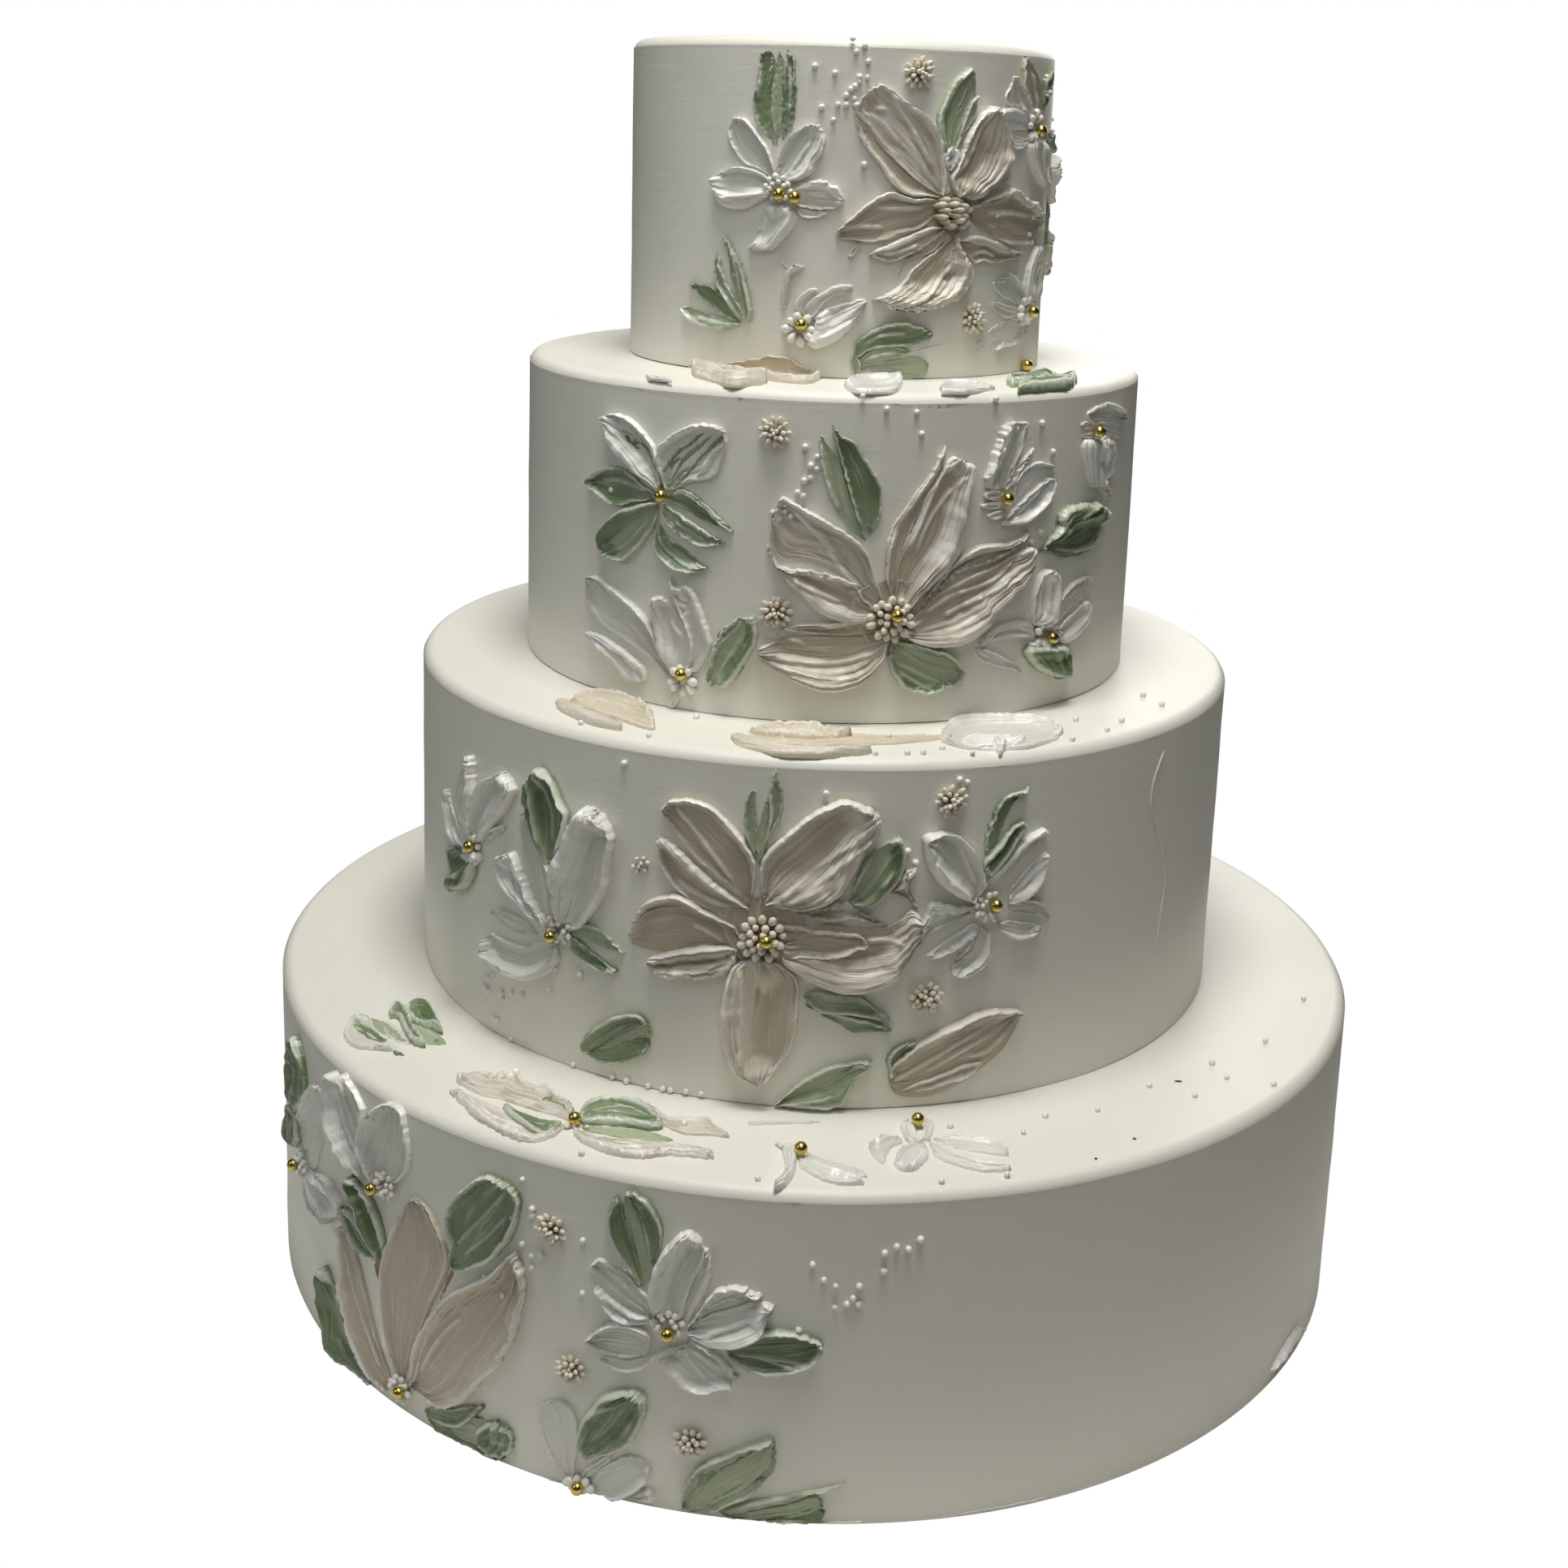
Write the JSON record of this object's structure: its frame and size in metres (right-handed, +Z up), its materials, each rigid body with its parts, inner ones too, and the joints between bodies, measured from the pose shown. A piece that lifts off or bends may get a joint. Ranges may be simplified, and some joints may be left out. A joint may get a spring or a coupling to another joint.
{
  "type": "tiered wedding cake",
  "caption": "Tall round wedding cake in stacked tiers of smooth ivory icing, with palette-knife buttercream flowers and leaves trailing down the front and small sugar beads.",
  "frame": {"origin": "middle of the underside of the base tier, where the cake stands", "axes": "+Z up along the axis of the tiers; -Y towards the decorated front; +X to the right of the front"},
  "size_m": [0.41, 0.4128, 0.452],
  "materials": {
    "ivory_icing": "smooth satin buttercream, scraped level",
    "pearl_icing": "white buttercream with a soft pearl sheen",
    "blush_icing": "dusty blush buttercream with a soft sheen",
    "peach_icing": "pale peach buttercream",
    "sage_icing": "sage green buttercream, streaked",
    "stamen_icing": "piped cream-coloured buttercream"
  },
  "bodies": {
    "root": {"tier_base": "ivory_icing", "tier_third": "ivory_icing", "tier_second": "ivory_icing", "tier_top": "ivory_icing", "white_flower_top_left": "pearl_icing", "leaf_top_left": "sage_icing", "blush_flower_top": "blush_icing", "white_flower_top_right": "pearl_icing", "leaf_sprig_top": "sage_icing", "white_flower_top_low": "pearl_icing", "leaf_fan_top": "sage_icing", "white_flower_top_edge": "pearl_icing", "blush_flower_top_back": "blush_icing", "star_flower_second": "sage_icing", "blush_flower_second": "blush_icing", "white_flower_second_left": "pearl_icing", "leaf_second_left": "sage_icing", "white_flower_second_upper": "pearl_icing", "white_flower_second_edge": "pearl_icing", "leaf_second_right": "sage_icing", "white_flower_second_right": "pearl_icing", "white_flower_second_back": "pearl_icing", "white_flower_third_edge": "pearl_icing", "white_flower_third_left": "pearl_icing", "blush_flower_third": "blush_icing", "leaf_third_up": "sage_icing", "leaf_third_right": "sage_icing", "white_flower_third_right": "pearl_icing", "leaf_third_foot_left": "sage_icing", "leaf_third_foot_right": "sage_icing", "blush_stroke_third": "blush_icing", "white_flower_third_back": "pearl_icing", "leaf_base_edge": "sage_icing", "white_flower_base_edge": "pearl_icing", "white_flower_base_left": "pearl_icing", "blush_flower_base": "blush_icing", "leaf_base_oval": "sage_icing", "white_flower_base_mid": "pearl_icing", "white_flower_base_foot": "pearl_icing", "leaf_base_foot": "sage_icing", "leaf_base_right": "sage_icing", "blush_flower_base_back": "blush_icing", "peach_strokes_second_ledge": "peach_icing", "leaf_second_ledge": "sage_icing", "peach_stroke_third_ledge_left": "peach_icing", "peach_stroke_third_ledge_mid": "peach_icing", "white_stroke_third_ledge": "pearl_icing", "striped_strokes_base_ledge": "sage_icing", "blush_flower_base_ledge": "blush_icing", "white_flower_base_ledge_mid": "pearl_icing", "white_flower_base_ledge_right": "pearl_icing", "stamen_bunch_top_a": "stamen_icing", "stamen_bunch_top_b": "stamen_icing", "stamen_bunch_second_a": "stamen_icing", "stamen_bunch_second_b": "stamen_icing", "stamen_bunch_third_a": "stamen_icing", "stamen_bunch_third_b": "stamen_icing", "stamen_bunch_base_a": "stamen_icing", "stamen_bunch_base_b": "stamen_icing", "stamen_bunch_base_c": "stamen_icing"}
  },
  "joints": []
}
